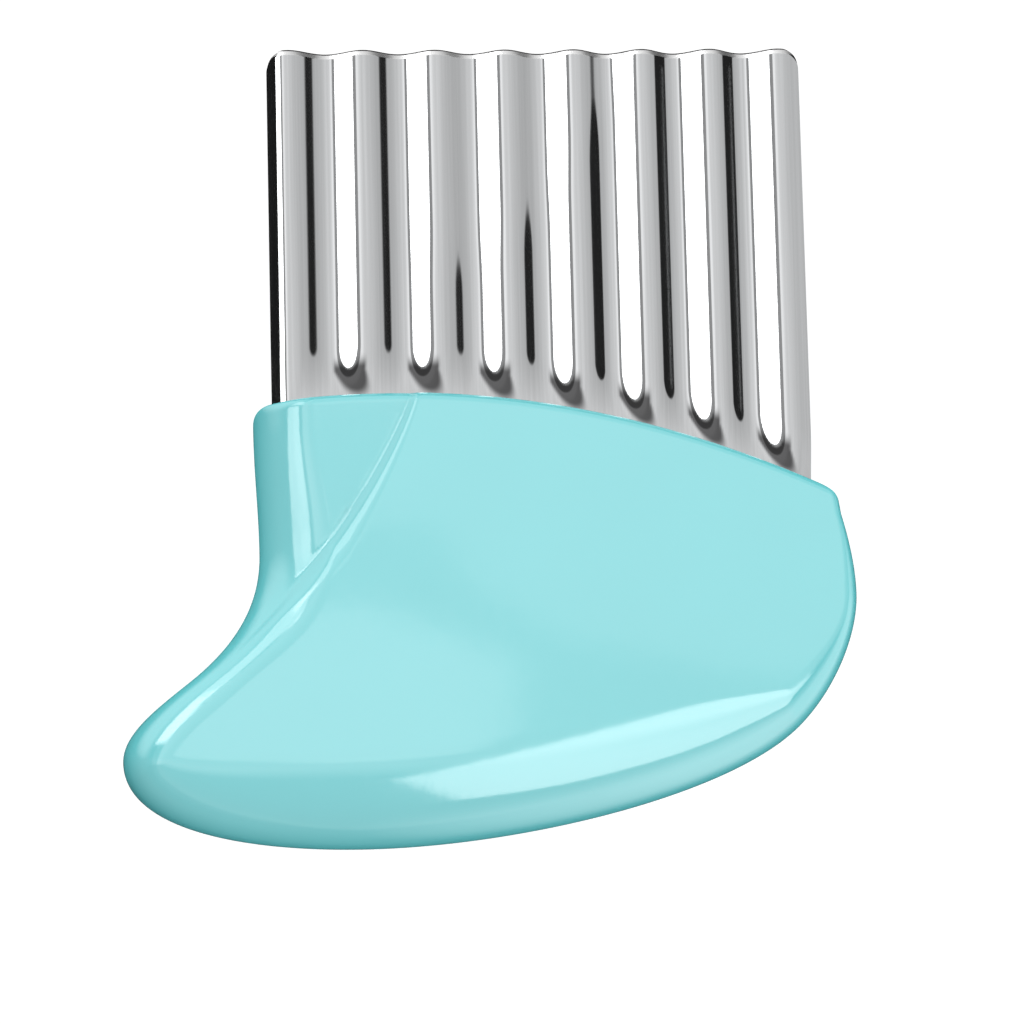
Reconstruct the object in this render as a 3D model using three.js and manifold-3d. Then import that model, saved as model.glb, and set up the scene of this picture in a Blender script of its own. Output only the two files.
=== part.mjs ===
// Crinkle cutter: a corrugated steel blade held between the two halves of a moulded palm handle.
// Millimetres. The cutter lies on its back: +X is right, +Y points to the cutting edge, +Z is up.
// The origin is the middle of the footprint, on the table.

import * as THREE from 'three';
import Module from 'manifold-3d';

const wasm = await Module();
wasm.setup();

// Overall sizes
const HANDLE_WIDTH = 100;
const HANDLE_LENGTH = 61;
const BLADE_REACH = 49;
const BACK_DEPTH = 10;
const FRONT_HEIGHT = 11.5;

// Handle faces
const CROWN_ACROSS = 1.6;
const CROWN_ALONG = 1.4;
const FRONT_RECESS = 2.4;
const BACK_RECESS = 1.6;
const HOLLOW_TRACE = 0.02;
const TOP_DROP = 12.9;
const TOP_FILLET = 1.2;
const PARTING_LAND = 0.6;
const WALL = 2.2;
const RIDGE_RUN = 1.35;

// Width of the rolled edge at the outline's named points
const ROLL_CORNER = 1.8;
const ROLL_HEEL_SIDE = 3;
const ROLL_HEEL = 6;
const ROLL_SOLE = 14;
const ROLL_NOSE = 6.5;
const ROLL_NOSE_TOP = 5.6;
const ROLL_WAIST = 10;
const ROLL_SHOULDER = 8.3;

// Share of the height that is rolled over at the top of the nose, and how full the roll is:
// 2 is a true quarter round, less is flatter
const NOSE_TOP_SHARE = 0.58;
const TRUE_ROUND = 2;
const WAIST_ROUND = 1.6;

// Seam between the shells
const SEAM_GAP = 0.2;
const LIP_INSET = 1.1;
const LIP_WIDTH = 0.9;
const LIP_DEPTH = 1.4;
const LIP_GAP = 0.2;

// Blade
const SHEET = 0.7;
const WAVE_DEPTH = 2.5;
const WAVE_COUNT = 7;
const END_RUN = 2.75;
const END_BEND = 2.4;
const LEFT_ANGLE = THREE.MathUtils.degToRad(43.2);
const RIGHT_ANGLE = THREE.MathUtils.degToRad(24);
const BLADE_LEFT_INSET = 2.8;
const BLADE_RIGHT_INSET = 3.1;
const FADE_START = -1.5;
const FADE_LENGTH = 9.5;
const GRIND = 0.85;
const EDGE_THICKNESS = 0.1;
const TIP_RADIUS = 2;
const SLOT_GAP = 0.3;

// Tang, pegs and ribs
const TANG_DEPTH = 21;
const TANG_INSET = 8.5;
const SHOULDER_DEPTH = 4;
const PEG_RADIUS = 2;
const PEG_RISE = 4.5;
const PEG_GAP = 0.2;
const PEG_INSET = 7.4;
const PEG_HEIGHT = 7.5;
const NOSE_PEG_INSET = 16;
const HEEL_PEG_INSET = 12;
const BOSS_WALL = 2;
const CLAMP_GAP = 0.1;
const RIB = 1.6;
const RIB_INSET = 1.2;
const STOP_RISE = 1;

const OVERALL_LENGTH = HANDLE_LENGTH + BLADE_REACH;

// A point of the plan, given as fractions of the handle's width and length
function plan(across, along) {
  return new THREE.Vector2((across - 0.5) * HANDLE_WIDTH, along * HANDLE_LENGTH - OVERALL_LENGTH / 2);
}

// Outline of the handle, clockwise from the left end of its top edge
const CREST = plan(0.36, 1);
const TOP_LEFT_X = plan(0.206, 1).x;
const TOP_RIGHT_X = plan(0.938, 1).x;
const CORNER_RIGHT = plan(0.98, 0.718);
const HEEL_SIDE = plan(1, 0.541);
const HEEL = plan(0.912, 0.239);
const SOLE = plan(0.33, 0);
const NOSE = plan(0, 0.205);
const NOSE_TOP = plan(0.095, 0.38);
const WAIST = plan(0.186, 0.656);
const SHOULDER = plan(0.18, 0.944);
const CENTRE = plan(0.5, 0.46);

// Foot of the ridge between the palm face and the finger hollow
const RIDGE_TOP = plan(0.389, 0.983);
const RIDGE_BEND_HIGH = plan(0.329, 0.753);
const RIDGE_BEND_LOW = plan(0.204, 0.525);
const RIDGE_END = plan(0.103, 0.336);
const RIDGE_LEAN = new THREE.Vector2(0.82, -0.57);

// Heights in the plan between which the hollow runs out along the nose
const HOLLOW_OUT = plan(0, 0.393).y;
const HOLLOW_FULL = plan(0, 0.672).y;

function towardsCentre(spot, distance) {
  const ray = CENTRE.clone().sub(spot).normalize();
  return spot.clone().addScaledVector(ray, distance);
}

// Pegs that close the handle below the tang
const CLOSING_PEGS = [towardsCentre(NOSE, NOSE_PEG_INSET), towardsCentre(HEEL, HEEL_PEG_INSET)];

const BLADE_LEFT = SHOULDER.x + BLADE_LEFT_INSET;
const BLADE_RIGHT = CORNER_RIGHT.x - BLADE_RIGHT_INSET;
const FIRST_RIDGE = BLADE_LEFT + END_RUN;
const LAST_RIDGE = BLADE_RIGHT - END_RUN;
const PITCH = (LAST_RIDGE - FIRST_RIDGE) / WAVE_COUNT;
const EDGE_Y = OVERALL_LENGTH / 2;
const TANG_LEFT = BLADE_LEFT + TANG_INSET;
const TANG_RIGHT = BLADE_RIGHT - TANG_INSET;
const TANG_BOTTOM = CREST.y - TANG_DEPTH;

// Height of the curved top edge at x, and its slope
function topEdge(x) {
  return CREST.y - TOP_DROP * ((x - CREST.x) / (TOP_RIGHT_X - CREST.x)) ** 2;
}

function topSlope(x) {
  return (-2 * TOP_DROP * (x - CREST.x)) / (TOP_RIGHT_X - CREST.x) ** 2;
}

// Pegs through the tang: one near each end and one in the middle
const PEG_LEFT = TANG_LEFT + PEG_INSET;
const PEG_RIGHT = TANG_RIGHT - PEG_INSET;
const PEG_MIDDLE = (PEG_LEFT + PEG_RIGHT) / 2;
const PEG_Y = TANG_BOTTOM + PEG_HEIGHT;
const TANG_PEGS = [PEG_LEFT, PEG_MIDDLE, PEG_RIGHT].map((x) => new THREE.Vector2(x, PEG_Y));
const BOSS_RADIUS = PEG_RADIUS + PEG_GAP + BOSS_WALL;

function roll(width, share, fullness) {
  return { width, share, fullness };
}

const CORNER_ROLL = roll(ROLL_CORNER, 1, TRUE_ROUND);
const HEEL_SIDE_ROLL = roll(ROLL_HEEL_SIDE, 1, TRUE_ROUND);
const HEEL_ROLL = roll(ROLL_HEEL, 1, TRUE_ROUND);
const SOLE_ROLL = roll(ROLL_SOLE, 1, TRUE_ROUND);
const NOSE_ROLL = roll(ROLL_NOSE, 1, TRUE_ROUND);
const NOSE_TOP_ROLL = roll(ROLL_NOSE_TOP, NOSE_TOP_SHARE, TRUE_ROUND);
const WAIST_ROLL = roll(ROLL_WAIST, 1, WAIST_ROUND);
const SHOULDER_ROLL = roll(ROLL_SHOULDER, 1, WAIST_ROUND);

// Outline pieces: the curve, how many steps it takes, and how the edge is rolled at its two ends.
// Along an early piece the roll widens mostly at the start.
function outlinePieces() {
  const topLeft = new THREE.Vector2(TOP_LEFT_X, topEdge(TOP_LEFT_X));
  const topRight = new THREE.Vector2(TOP_RIGHT_X, topEdge(TOP_RIGHT_X));
  const middleX = (TOP_LEFT_X + TOP_RIGHT_X) / 2;
  const topPull = new THREE.Vector2(middleX, topLeft.y + topSlope(TOP_LEFT_X) * (middleX - TOP_LEFT_X));
  const bend = (a, pull, b) => new THREE.QuadraticBezierCurve(a, pull, b);
  const curve = (a, b, c, d) => new THREE.CubicBezierCurve(a, b, c, d);
  return [
    { curve: bend(topLeft, topPull, topRight), steps: 22, top: true },
    { curve: bend(topRight, plan(0.968, 0.767), CORNER_RIGHT), steps: 3, top: true },
    {
      curve: curve(CORNER_RIGHT, plan(0.989, 0.666), plan(1, 0.607), HEEL_SIDE),
      steps: 5,
      rolls: [CORNER_ROLL, HEEL_SIDE_ROLL],
    },
    {
      curve: curve(HEEL_SIDE, plan(1, 0.434), plan(0.962, 0.311), HEEL),
      steps: 8,
      rolls: [HEEL_SIDE_ROLL, HEEL_ROLL],
    },
    {
      curve: curve(HEEL, plan(0.815, 0.098), plan(0.54, 0), SOLE),
      steps: 14,
      rolls: [HEEL_ROLL, SOLE_ROLL],
      early: true,
    },
    { curve: curve(SOLE, plan(0.16, 0), plan(0, 0.057), NOSE), steps: 13, rolls: [SOLE_ROLL, NOSE_ROLL] },
    {
      curve: curve(NOSE, plan(0, 0.269), plan(0.05, 0.323), NOSE_TOP),
      steps: 7,
      rolls: [NOSE_ROLL, NOSE_TOP_ROLL],
    },
    {
      curve: curve(NOSE_TOP, plan(0.145, 0.444), plan(0.186, 0.533), WAIST),
      steps: 7,
      rolls: [NOSE_TOP_ROLL, WAIST_ROLL],
    },
    {
      curve: curve(WAIST, plan(0.186, 0.754), plan(0.18, 0.836), SHOULDER),
      steps: 6,
      rolls: [WAIST_ROLL, SHOULDER_ROLL],
    },
    { curve: bend(SHOULDER, plan(0.18, 0.979), topLeft), steps: 3, top: true },
  ];
}

function rollBetween(start, end, share) {
  const between = (name) => THREE.MathUtils.lerp(start[name], end[name], share);
  return roll(between('width'), between('share'), between('fullness'));
}

// Outline as a list of points; those of the rolled sides carry their roll
function outlinePoints() {
  const points = [];
  for (const piece of outlinePieces()) {
    for (let step = 0; step < piece.steps; step += 1) {
      const share = step / piece.steps;
      const eased = piece.early ? 1 - (1 - share) ** 3 : THREE.MathUtils.smoothstep(share, 0, 1);
      const edge = piece.top ? null : rollBetween(piece.rolls[0], piece.rolls[1], eased);
      points.push({ spot: piece.curve.getPoint(share), edge });
    }
  }
  return points;
}

const OUTLINE = outlinePoints();

// The rolled sides, run on straight past the two top corners
function rolledLine() {
  const sides = OUTLINE.filter((point) => point.edge);
  const first = sides[0];
  const last = sides[sides.length - 1];
  const rightEnd = plan(0.955, 1);
  const leftEnd = plan(0.18, 1.1);
  return [{ spot: rightEnd, edge: first.edge }, ...sides, { spot: leftEnd, edge: last.edge }];
}

const ROLLED_LINE = rolledLine();

// How squarely the line from an outline point to the handle's centre leaves the outline, from 0 to 1
function squareness(index) {
  const count = OUTLINE.length;
  const spot = OUTLINE[index].spot;
  const before = OUTLINE[(index + count - 1) % count].spot;
  const after = OUTLINE[(index + 1) % count].spot;
  const along = after.clone().sub(before).normalize();
  const inward = new THREE.Vector2(along.y, -along.x);
  return CENTRE.clone().sub(spot).normalize().dot(inward);
}

// The same, evened out over a few neighbours so that the rings don't fold at the corners
const SQUARENESS = OUTLINE.map((point, index) => {
  const reach = 3;
  let sum = 0;
  for (let step = -reach; step <= reach; step += 1) {
    sum += squareness((index + step + OUTLINE.length) % OUTLINE.length);
  }
  return sum / (2 * reach + 1);
});

// Point that lies inset from outline point number index, on the line to the handle's centre
function insetPoint(index, inset) {
  const spot = OUTLINE[index].spot;
  const ray = CENTRE.clone().sub(spot).normalize();
  return spot.clone().addScaledVector(ray, inset / SQUARENESS[index]);
}

// Profile of a rolled edge: 0 at the edge, 1 where the roll ends
function quarterRound(share, fullness = TRUE_ROUND) {
  const kept = THREE.MathUtils.clamp(share, 0, 1);
  return (1 - (1 - kept) ** fullness) ** (1 / fullness);
}

// How far the rolled sides have risen over a point of the plan, from 0 to 1
function sideRoll(spot, inset) {
  let lowest = 1;
  for (let index = 0; index + 1 < ROLLED_LINE.length; index += 1) {
    const start = ROLLED_LINE[index];
    const end = ROLLED_LINE[index + 1];
    const step = end.spot.clone().sub(start.spot);
    const from = spot.clone().sub(start.spot);
    const share = THREE.MathUtils.clamp(from.dot(step) / step.lengthSq(), 0, 1);
    const distance = from.addScaledVector(step, -share).length();
    const edge = rollBetween(start.edge, end.edge, share);
    const risen = quarterRound((distance - inset) / edge.width, edge.fullness);
    lowest = Math.min(lowest, 1 - edge.share * (1 - risen));
  }
  return lowest;
}

// Share of the height that is left by the fillet along the top edge
function topFillet(spot, height) {
  const below = (topEdge(spot.x) - spot.y) / Math.hypot(1, topSlope(spot.x));
  return 1 - (TOP_FILLET / height) * (1 - quarterRound(below / TOP_FILLET));
}

function crownedFace(spot) {
  const across = (spot.x - CENTRE.x) / (HANDLE_WIDTH / 2);
  const along = (spot.y - CENTRE.y) / (CREST.y - CENTRE.y);
  return FRONT_HEIGHT - CROWN_ACROSS * across ** 2 - CROWN_ALONG * along ** 2;
}

// Share of the finger hollow's depth that is left at a point of the plan, down to a trace at its end
function hollowLeft(spot) {
  const left = THREE.MathUtils.smoothstep(spot.y, HOLLOW_OUT, HOLLOW_FULL);
  return THREE.MathUtils.lerp(HOLLOW_TRACE, 1, left);
}

// Outer skin over the parting plane, for a face of the given height
function outerSkin(face) {
  return (spot) => {
    const rise = face(spot) - PARTING_LAND;
    return PARTING_LAND + rise * sideRoll(spot, 0) * topFillet(spot, rise);
  };
}

// Inner skin, one wall inside the outer one
function innerSkin(face) {
  return (spot) => PARTING_LAND + (face(spot) - WALL - PARTING_LAND) * sideRoll(spot, WALL);
}

function solidOf(geometry) {
  const positions = geometry.getAttribute('position').array;
  const mesh = new wasm.Mesh({
    numProp: 3,
    vertProperties: Float32Array.from(positions),
    triVerts: Uint32Array.from(geometry.getIndex().array),
  });
  mesh.merge();
  return new wasm.Manifold(mesh);
}

function geometryOf(solid) {
  const mesh = solid.getMesh();
  const geometry = new THREE.BufferGeometry();
  geometry.setAttribute('position', new THREE.BufferAttribute(Float32Array.from(mesh.vertProperties), 3));
  geometry.setIndex(Array.from(mesh.triVerts));
  return geometry;
}

function surface(points, faces) {
  const geometry = new THREE.BufferGeometry();
  geometry.setFromPoints(points);
  geometry.setIndex(faces);
  return geometry;
}

// Closed block over the handle's plan: flat at its base, shaped by skin on top
function skinBlock(inset, steps, base, skin) {
  const count = OUTLINE.length;
  const points = [];
  for (let index = 0; index < count; index += 1) {
    const spot = insetPoint(index, inset);
    points.push(new THREE.Vector3(spot.x, spot.y, base));
  }
  for (const step of steps) {
    for (let index = 0; index < count; index += 1) {
      const spot = insetPoint(index, inset + step);
      points.push(new THREE.Vector3(spot.x, spot.y, skin(spot)));
    }
  }
  for (let index = 0; index < count; index += 1) {
    const spot = insetPoint(index, inset + steps[steps.length - 1]).lerp(CENTRE, 0.5);
    points.push(new THREE.Vector3(spot.x, spot.y, skin(spot)));
  }
  points.push(new THREE.Vector3(CENTRE.x, CENTRE.y, skin(CENTRE)));
  points.push(new THREE.Vector3(CENTRE.x, CENTRE.y, base));
  const rings = steps.length + 2;
  const faces = [];
  for (let ring = 0; ring + 1 < rings; ring += 1) {
    for (let index = 0; index < count; index += 1) {
      const next = (index + 1) % count;
      const a = ring * count + index;
      const b = ring * count + next;
      faces.push(a, a + count, b, b, a + count, b + count);
    }
  }
  const peak = rings * count;
  for (let index = 0; index < count; index += 1) {
    const next = (index + 1) % count;
    faces.push(peak - count + index, peak, peak - count + next);
    faces.push(index, next, peak + 1);
  }
  return surface(points, faces);
}

function mirrored(geometry) {
  const copy = geometry.clone().applyMatrix4(new THREE.Matrix4().makeScale(1, 1, -1));
  copy.setIndex(Array.from(copy.getIndex().array).reverse());
  return copy;
}

function indexed(geometry) {
  const copy = geometry.index ? geometry.clone() : geometry;
  if (!copy.index) copy.setIndex(Array.from({ length: copy.getAttribute('position').count }, (_, i) => i));
  return copy;
}

// Column over the palm side of the ridge, its wall leaning out from the hollow's floor up to the palm face
function ridgeColumn(floor, shift) {
  const far = HANDLE_WIDTH;
  const shape = new THREE.Shape();
  shape.moveTo(RIDGE_TOP.x, far);
  shape.lineTo(RIDGE_TOP.x, RIDGE_TOP.y);
  shape.bezierCurveTo(
    RIDGE_BEND_HIGH.x, RIDGE_BEND_HIGH.y, RIDGE_BEND_LOW.x, RIDGE_BEND_LOW.y, RIDGE_END.x, RIDGE_END.y,
  );
  shape.lineTo(-far, RIDGE_END.y);
  shape.lineTo(-far, -far);
  shape.lineTo(far, -far);
  shape.lineTo(far, far);
  shape.closePath();
  const tall = FRONT_HEIGHT * 2;
  const column = new THREE.ExtrudeGeometry(shape, { depth: tall, bevelEnabled: false, curveSegments: 12 });
  const lean = new THREE.Matrix4().makeShear(0, 0, 0, 0, RIDGE_LEAN.x * RIDGE_RUN, RIDGE_LEAN.y * RIDGE_RUN);
  column.translate(0, 0, -floor).applyMatrix4(lean).translate(0, 0, floor);
  column.translate(RIDGE_LEAN.x * shift, RIDGE_LEAN.y * shift, -1);
  return solidOf(indexed(column));
}

// Low block with the palm side raised over it
function raisedBlock(inset, steps, base, low, high, column) {
  const lowBlock = solidOf(skinBlock(inset, steps, base, low));
  const highBlock = solidOf(skinBlock(inset, steps, base, high));
  return lowBlock.add(highBlock.intersect(column));
}

// Band along the rolled sides of the outline, between two insets and two heights.
// It stops the given number of outline points short of each end.
function sideBand(outer, inner, bottom, top, short) {
  const first = OUTLINE.findIndex((point) => point.edge) + short;
  const last = OUTLINE.findLastIndex((point) => point.edge) - short;
  const shape = new THREE.Shape();
  const start = insetPoint(first, outer);
  shape.moveTo(start.x, start.y);
  for (let index = first + 1; index <= last; index += 1) {
    const spot = insetPoint(index, outer);
    shape.lineTo(spot.x, spot.y);
  }
  for (let index = last; index >= first; index -= 1) {
    const spot = insetPoint(index, inner);
    shape.lineTo(spot.x, spot.y);
  }
  shape.closePath();
  const band = new THREE.ExtrudeGeometry(shape, { depth: top - bottom, bevelEnabled: false });
  return solidOf(indexed(band.translate(0, 0, bottom)));
}

function post(spot, radius, bottom, top) {
  const cylinder = new THREE.CylinderGeometry(radius, radius, top - bottom, 24);
  cylinder.rotateX(Math.PI / 2).translate(spot.x, spot.y, (bottom + top) / 2);
  return solidOf(indexed(cylinder));
}

function box(left, right, near, far, bottom, top) {
  const block = new THREE.BoxGeometry(right - left, far - near, top - bottom);
  block.translate((left + right) / 2, (near + far) / 2, (bottom + top) / 2);
  return solidOf(indexed(block));
}

// Drop of the sheet beyond its outer ridges: a round bend that runs on straight
function endDrop(beyond, angle) {
  const past = Math.max(beyond, 0);
  const onBend = Math.min(past, END_BEND * Math.sin(angle));
  return END_BEND - Math.sqrt(END_BEND ** 2 - onBend ** 2) + (past - onBend) * Math.tan(angle);
}

// Middle of the sheet, measured from the parting plane
function sheetHeight(x, y) {
  const inside = THREE.MathUtils.clamp(x, FIRST_RIDGE, LAST_RIDGE);
  const wave = (WAVE_DEPTH / 2) * Math.cos((2 * Math.PI * (inside - FIRST_RIDGE)) / PITCH);
  const rise = THREE.MathUtils.smoothstep(y - topEdge(x), FADE_START, FADE_START + FADE_LENGTH);
  return rise * wave - endDrop(FIRST_RIDGE - x, LEFT_ANGLE) - endDrop(x - LAST_RIDGE, RIGHT_ANGLE);
}

function sheetPoint(x, y, offset) {
  const reach = 0.01;
  const slopeX = (sheetHeight(x + reach, y) - sheetHeight(x - reach, y)) / (2 * reach);
  const slopeY = (sheetHeight(x, y + reach) - sheetHeight(x, y - reach)) / (2 * reach);
  const normal = new THREE.Vector3(-slopeX, -slopeY, 1).normalize();
  return new THREE.Vector3(x, y, sheetHeight(x, y)).addScaledVector(normal, offset);
}

// Lower end of the sheet: shoulders at the two ends, the tang between them
function sheetBottom(x) {
  const beyond = Math.max(TANG_LEFT - x, x - TANG_RIGHT, 0);
  const shoulder = topEdge(x) - SHOULDER_DEPTH;
  const share = THREE.MathUtils.clamp(beyond, 0, 1);
  return THREE.MathUtils.lerp(TANG_BOTTOM, shoulder, share);
}

function sheetTop(x) {
  const fromEnd = Math.min(x - BLADE_LEFT, BLADE_RIGHT - x);
  return EDGE_Y - TIP_RADIUS * (1 - quarterRound(fromEnd / TIP_RADIUS));
}

// Heights on the sheet at which its rows of points lie; grown lengthens its lower end
function sheetRows(x, grown) {
  const fade = topEdge(x) + FADE_START;
  const rows = [sheetBottom(x) - grown];
  for (let step = 0; step <= 6; step += 1) rows.push(fade + (FADE_LENGTH * step) / 6);
  rows.push(sheetTop(x) - GRIND, sheetTop(x));
  return rows;
}

// Closed sheet: grown widens, thickens and lengthens it for the slot, ground sharpens its edge
function sheetSolid(grown, ground) {
  const half = SHEET / 2 + grown;
  const columns = WAVE_COUNT * 10 + 6;
  const left = BLADE_LEFT - grown;
  const right = BLADE_RIGHT + grown;
  const across = [];
  for (let step = 0; step <= columns; step += 1) across.push(left + ((right - left) * step) / columns);
  const tip = TIP_RADIUS * 0.12;
  across.splice(1, 0, left + tip);
  across.splice(across.length - 1, 0, right - tip);
  const rowCount = sheetRows(0, grown).length;
  const points = [];
  for (const side of [1, -1]) {
    for (const x of across) {
      sheetRows(x, grown).forEach((y, row) => {
        const sharp = ground && side > 0 && row === rowCount - 1;
        points.push(sheetPoint(x, y, sharp ? EDGE_THICKNESS - half : side * half));
      });
    }
  }
  const back = across.length * rowCount;
  const faces = [];
  const quad = (a, b, c, d) => faces.push(a, b, c, a, c, d);
  for (let column = 0; column + 1 < across.length; column += 1) {
    for (let row = 0; row + 1 < rowCount; row += 1) {
      const a = column * rowCount + row;
      const b = a + rowCount;
      quad(a, b, b + 1, a + 1);
      quad(back + a, back + a + 1, back + b + 1, back + b);
    }
    const low = column * rowCount;
    const high = low + rowCount - 1;
    quad(low, back + low, back + low + rowCount, low + rowCount);
    quad(high, high + rowCount, back + high + rowCount, back + high);
  }
  const end = (across.length - 1) * rowCount;
  for (let row = 0; row + 1 < rowCount; row += 1) {
    quad(row, row + 1, back + row + 1, back + row);
    quad(end + row, back + end + row, back + end + row + 1, end + row + 1);
  }
  return solidOf(surface(points, faces));
}

function bladeSolid() {
  let blade = sheetSolid(0, true);
  for (const spot of TANG_PEGS) {
    blade = blade.subtract(post(spot, PEG_RADIUS + PEG_GAP, -WAVE_DEPTH, WAVE_DEPTH));
  }
  return blade;
}

// Ribs that reach from a shell to the tang, one at each end and one between each pair of pegs.
// They end just short of where the sheet's waves begin.
function clampRibs(bottom, top) {
  const betweenLeft = (PEG_LEFT + PEG_MIDDLE) / 2;
  const betweenRight = (PEG_MIDDLE + PEG_RIGHT) / 2;
  const places = [TANG_LEFT + RIB_INSET, betweenLeft, betweenRight, TANG_RIGHT - RIB_INSET];
  const end = (x) => Math.min(topEdge(x - RIB / 2), topEdge(x + RIB / 2)) + FADE_START - CLAMP_GAP;
  return places.map((x) => box(x - RIB / 2, x + RIB / 2, TANG_BOTTOM, end(x), bottom, top));
}

function joined(first, others) {
  return others.reduce((sum, other) => sum.add(other), first);
}

const OUTER_STEPS = [0, 0.6, 1.8, 4, 8, 14];
const INNER_STEPS = [0, 1.5, 4.5, 9];
const CLAMP = SHEET / 2 + CLAMP_GAP;
const RIDGE_WALL_SHIFT = WALL * (Math.hypot(1, RIDGE_RUN) - RIDGE_RUN);
const SLOT = sheetSolid(SLOT_GAP, false);

function frontShell() {
  const palm = crownedFace;
  const lowest = FRONT_HEIGHT - FRONT_RECESS;
  const floor = (spot) => THREE.MathUtils.lerp(palm(spot), lowest, hollowLeft(spot));
  const column = ridgeColumn(lowest, 0);
  const innerColumn = ridgeColumn(lowest - WALL, RIDGE_WALL_SHIFT);
  const outer = raisedBlock(0, OUTER_STEPS, SEAM_GAP / 2, outerSkin(floor), outerSkin(palm), column);
  const hollow = raisedBlock(WALL, INNER_STEPS, -1, innerSkin(floor), innerSkin(palm), innerColumn);
  const inside = [];
  for (const spot of TANG_PEGS) inside.push(post(spot, BOSS_RADIUS, CLAMP, FRONT_HEIGHT));
  for (const spot of CLOSING_PEGS) inside.push(post(spot, BOSS_RADIUS, SEAM_GAP / 2, FRONT_HEIGHT));
  inside.push(...clampRibs(CLAMP, FRONT_HEIGHT));
  const fittings = joined(inside[0], inside.slice(1)).intersect(outer);
  let shell = outer.subtract(hollow).subtract(SLOT).add(fittings);
  for (const spot of [...TANG_PEGS, ...CLOSING_PEGS]) {
    shell = shell.subtract(post(spot, PEG_RADIUS + PEG_GAP, -1, PEG_RISE + PEG_GAP));
  }
  const lip = sideBand(LIP_INSET, LIP_INSET + LIP_WIDTH, -LIP_DEPTH, PARTING_LAND, 2);
  return shell.add(lip);
}

function backShell() {
  const palm = () => BACK_DEPTH;
  const lowest = BACK_DEPTH - BACK_RECESS;
  const floor = (spot) => THREE.MathUtils.lerp(BACK_DEPTH, lowest, hollowLeft(spot));
  const column = ridgeColumn(lowest, 0);
  const innerColumn = ridgeColumn(lowest - WALL, RIDGE_WALL_SHIFT);
  const outer = raisedBlock(0, OUTER_STEPS, SEAM_GAP / 2, outerSkin(floor), outerSkin(palm), column);
  const hollow = raisedBlock(WALL, INNER_STEPS, -1, innerSkin(floor), innerSkin(palm), innerColumn);
  const inside = [];
  for (const spot of TANG_PEGS) inside.push(post(spot, BOSS_RADIUS, CLAMP, BACK_DEPTH));
  for (const spot of CLOSING_PEGS) inside.push(post(spot, BOSS_RADIUS, SEAM_GAP / 2, BACK_DEPTH));
  inside.push(...clampRibs(CLAMP, BACK_DEPTH));
  const stopTop = TANG_BOTTOM - SLOT_GAP;
  inside.push(box(TANG_LEFT, TANG_RIGHT, stopTop - RIB, stopTop, SEAM_GAP / 2, BACK_DEPTH));
  const fittings = joined(inside[0], inside.slice(1)).intersect(outer);
  const slot = solidOf(mirrored(geometryOf(SLOT)));
  const bare = outer.subtract(hollow).subtract(slot).add(fittings);
  const groove = sideBand(LIP_INSET - LIP_GAP, WALL + LIP_GAP, -1, LIP_DEPTH + LIP_GAP, 1);
  const grooved = solidOf(mirrored(geometryOf(bare.subtract(groove))));
  const pegs = [...TANG_PEGS, ...CLOSING_PEGS];
  const pins = pegs.map((spot) => post(spot, PEG_RADIUS, -BACK_DEPTH / 2, PEG_RISE));
  const stop = box(TANG_LEFT, TANG_RIGHT, stopTop - RIB, stopTop, -STOP_RISE, STOP_RISE);
  return joined(grooved, [...pins, stop]);
}

const STEEL = { color: 0xc9ced2, roughness: 0.16, metalness: 1 };
const AQUA = { color: 0x9be2e7, roughness: 0.28, metalness: 0 };

function addPiece(group, name, solid, finish) {
  const geometry = geometryOf(solid).translate(0, 0, BACK_DEPTH);
  geometry.computeVertexNormals();
  const mesh = new THREE.Mesh(geometry, new THREE.MeshStandardMaterial(finish));
  mesh.name = name;
  group.add(mesh);
}

const cutter = new THREE.Group();
addPiece(cutter, 'blade', bladeSolid(), STEEL);
addPiece(cutter, 'front_shell', frontShell(), AQUA);
addPiece(cutter, 'back_shell', backShell(), AQUA);

export default cutter;
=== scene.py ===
"""Looks of the crinkle cutter: a polished corrugated blade and the two glossy aqua shells of its handle."""

import math

import bpy
import numpy as np
from mathutils import Matrix, Vector
from mathutils.geometry import interpolate_bezier


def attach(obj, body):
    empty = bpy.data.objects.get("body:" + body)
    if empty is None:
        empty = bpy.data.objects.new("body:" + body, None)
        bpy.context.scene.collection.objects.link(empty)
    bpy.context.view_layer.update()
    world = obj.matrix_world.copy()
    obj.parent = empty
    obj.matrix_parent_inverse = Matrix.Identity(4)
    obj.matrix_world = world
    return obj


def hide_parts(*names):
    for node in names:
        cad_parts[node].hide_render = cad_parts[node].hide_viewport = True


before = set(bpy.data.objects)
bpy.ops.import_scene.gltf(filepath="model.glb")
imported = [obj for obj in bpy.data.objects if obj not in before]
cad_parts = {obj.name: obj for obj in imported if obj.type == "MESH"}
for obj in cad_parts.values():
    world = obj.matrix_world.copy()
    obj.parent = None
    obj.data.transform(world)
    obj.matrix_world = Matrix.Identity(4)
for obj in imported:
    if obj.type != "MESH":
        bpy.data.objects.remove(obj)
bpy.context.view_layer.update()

MM = 0.001

# Overall sizes of the cutter, in millimetres, as the frame has them
HANDLE_WIDTH = 100.0
HANDLE_LENGTH = 61.0
OVERALL_LENGTH = 110.0
BACK_DEPTH = 10.0
FRONT_HEIGHT = 11.5

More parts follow.
